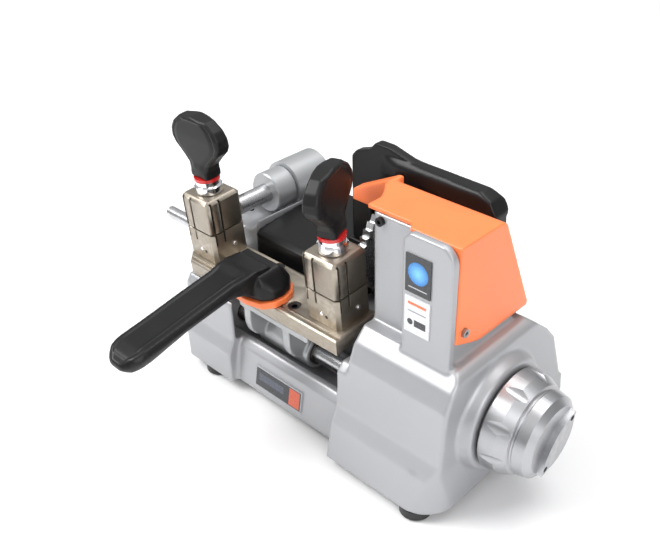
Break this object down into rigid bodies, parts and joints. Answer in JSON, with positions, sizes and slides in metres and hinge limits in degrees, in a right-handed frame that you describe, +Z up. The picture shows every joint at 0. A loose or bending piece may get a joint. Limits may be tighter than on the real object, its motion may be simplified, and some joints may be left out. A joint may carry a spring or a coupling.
{
  "type": "key duplicating machine",
  "caption": "Bench machine that copies flat keys: tilting carriage with two clamps, tracer, toothed cutter under a hood, side feed knob and carrying handle.",
  "frame": {"origin": "centre of the footprint's bounding box, on the bench surface under the feet", "axes": "+X to the operator's right, +Y away from the operator, +Z up"},
  "size_m": [0.351, 0.2554, 0.2129],
  "materials": {
    "silver_paint": "satin metallic",
    "orange_plastic": "satin",
    "black_plastic": "matte",
    "dark_sheet": "matte",
    "label_film": "satin",
    "belt_rubber": "matte",
    "foot_rubber": "matte",
    "knob_rubber": "matte",
    "red_ring": "gloss",
    "chrome": "polished",
    "jaw_nickel": "satin bronze-tinted nickel",
    "grey_casting": "satin",
    "satin_aluminium": "satin",
    "ground_steel": "ground",
    "spring_steel": "bright",
    "black_screws": "black oxide",
    "bronze": "machined",
    "board_green": "satin"
  },
  "bodies": {
    "frame": {"base_casting": "silver_paint", "bottom_cover": "dark_sheet", "hood": "orange_plastic", "label_plates": "label_film", "front_badge": "label_film", "centre_cover": "black_plastic", "cutter_guard": "black_plastic", "drive_belt": "belt_rubber", "spindle_bearings": "ground_steel", "bearing_plate": "silver_paint", "motor_body": "ground_steel", "motor_bracket": "ground_steel", "battery_pack": "black_plastic", "circuit_board": "board_green", "power_socket": "black_plastic", "switch_housing": "black_plastic", "shaft_bushes": "bronze", "carry_handle": "black_plastic", "rubber_feet": "foot_rubber", "cover_screws": "black_screws", "tracer_housing": "grey_casting", "shaft_cap": "silver_paint"},
    "power_rocker": {"switch_rocker": "knob_rubber"},
    "cutter_spindle": {"spindle": "ground_steel", "cutter": "ground_steel", "cutter_nut": "ground_steel", "spindle_pulley": "satin_aluminium"},
    "motor_rotor": {"motor_rotor": "ground_steel", "motor_pulley": "satin_aluminium"},
    "feed_knob": {"feed_screw": "ground_steel", "side_knob": "satin_aluminium", "knob_bar": "satin_aluminium"},
    "carriage_slide": {"carriage_shaft": "ground_steel", "feed_nut_arm": "grey_casting"},
    "carriage": {"carriage_casting": "grey_casting", "carriage_bushes": "bronze", "clamp_plate": "jaw_nickel", "carriage_screws": "black_screws", "grip_lever": "black_plastic", "lever_collar": "orange_plastic", "left_stud": "ground_steel", "right_stud": "ground_steel"},
    "left_lower_clamp": {"left_lower_jaw": "jaw_nickel", "left_lift_spring": "spring_steel", "turning_bar": "ground_steel"},
    "left_upper_clamp": {"left_upper_jaw": "jaw_nickel"},
    "left_clamp_knob": {"left_knob_collar": "chrome", "left_knob_ring": "red_ring", "left_wing_knob": "knob_rubber"},
    "right_lower_clamp": {"right_lower_jaw": "jaw_nickel", "right_lift_spring": "spring_steel"},
    "right_upper_clamp": {"right_upper_jaw": "jaw_nickel"},
    "right_clamp_knob": {"right_knob_collar": "chrome", "right_knob_ring": "red_ring", "right_wing_knob": "knob_rubber"},
    "tracer_dial": {"tracer_dial": "grey_casting"},
    "tracer_shaft": {"tracer_shaft": "ground_steel", "tracer_tip": "ground_steel", "tracer_screw": "black_screws"}
  },
  "joints": [
    {"name": "carriage_feed", "type": "slide", "parent": "frame", "child": "carriage_slide", "axis": [1, 0, 0], "range_m": [-0.024, 0.002]},
    {"name": "feed_knob_turn", "type": "hinge", "parent": "frame", "child": "feed_knob", "pos_m": [0.1385, 0.03914, 0.061], "axis": [1, 0, 0], "range_deg": [-1081, 91]},
    {"name": "carriage_tilt", "type": "hinge", "parent": "carriage_slide", "child": "carriage", "pos_m": [-0.0375, 0.01514, 0.05], "axis": [-1, 0, 0], "range_deg": [0, 3.5]},
    {"name": "cutter_spin", "type": "hinge", "parent": "frame", "child": "cutter_spindle", "pos_m": [0.0145, 0.06614, 0.13], "axis": [1, 0, 0], "continuous": true},
    {"name": "motor_spin", "type": "hinge", "parent": "frame", "child": "motor_rotor", "pos_m": [0.0115, 0.08514, 0.054], "axis": [1, 0, 0], "continuous": true},
    {"name": "rocker_tilt", "type": "hinge", "parent": "frame", "child": "power_rocker", "pos_m": [0.0835, 0.12414, 0.028], "axis": [0, 0, 1], "range_deg": [0, 12]},
    {"name": "tracer_dial_turn", "type": "hinge", "parent": "frame", "child": "tracer_dial", "pos_m": [-0.1185, 0.07514, 0.126], "axis": [0, 1, 0], "range_deg": [-361, 361]},
    {"name": "tracer_slide", "type": "slide", "parent": "frame", "child": "tracer_shaft", "axis": [0, 1, 0], "range_m": [-0.001, 0.001]},
    {"name": "left_clamp_turn", "type": "hinge", "parent": "carriage", "child": "left_lower_clamp", "pos_m": [-0.1155, 0.01004, 0.12483], "axis": [0, -0.068, 0.9977], "range_deg": [0, 90]},
    {"name": "left_jaw_lift", "type": "slide", "parent": "left_lower_clamp", "child": "left_upper_clamp", "axis": [0, -0.068, 0.9977], "range_m": [0, 0.004], "deforming": ["left_lift_spring"]},
    {"name": "left_wing_turn", "type": "hinge", "parent": "left_upper_clamp", "child": "left_clamp_knob", "pos_m": [-0.1155, 0.01004, 0.12483], "axis": [0, -0.068, 0.9977], "range_deg": [-0.5, 720.5]},
    {"name": "right_clamp_turn", "type": "hinge", "parent": "carriage", "child": "right_lower_clamp", "pos_m": [0.0135, 0.01004, 0.12483], "axis": [0, -0.068, 0.9977], "range_deg": [0, 90]},
    {"name": "right_jaw_lift", "type": "slide", "parent": "right_lower_clamp", "child": "right_upper_clamp", "axis": [0, -0.068, 0.9977], "range_m": [0, 0.004], "deforming": ["right_lift_spring"]},
    {"name": "right_wing_turn", "type": "hinge", "parent": "right_upper_clamp", "child": "right_clamp_knob", "pos_m": [0.0135, 0.01004, 0.12483], "axis": [0, -0.068, 0.9977], "range_deg": [-0.5, 720.5]}
  ],
  "couplings": [
    {"joint": "feed_knob_turn", "follows": "carriage_feed", "rad_per_m": 785.4},
    {"joint": "motor_spin", "follows": "cutter_spin", "ratio": 2},
    {"joint": "tracer_dial_turn", "follows": "tracer_slide", "rad_per_m": 6283.2},
    {"joint": "left_wing_turn", "follows": "left_jaw_lift", "rad_per_m": 3141.6},
    {"joint": "right_wing_turn", "follows": "right_jaw_lift", "rad_per_m": 3141.6}
  ]
}
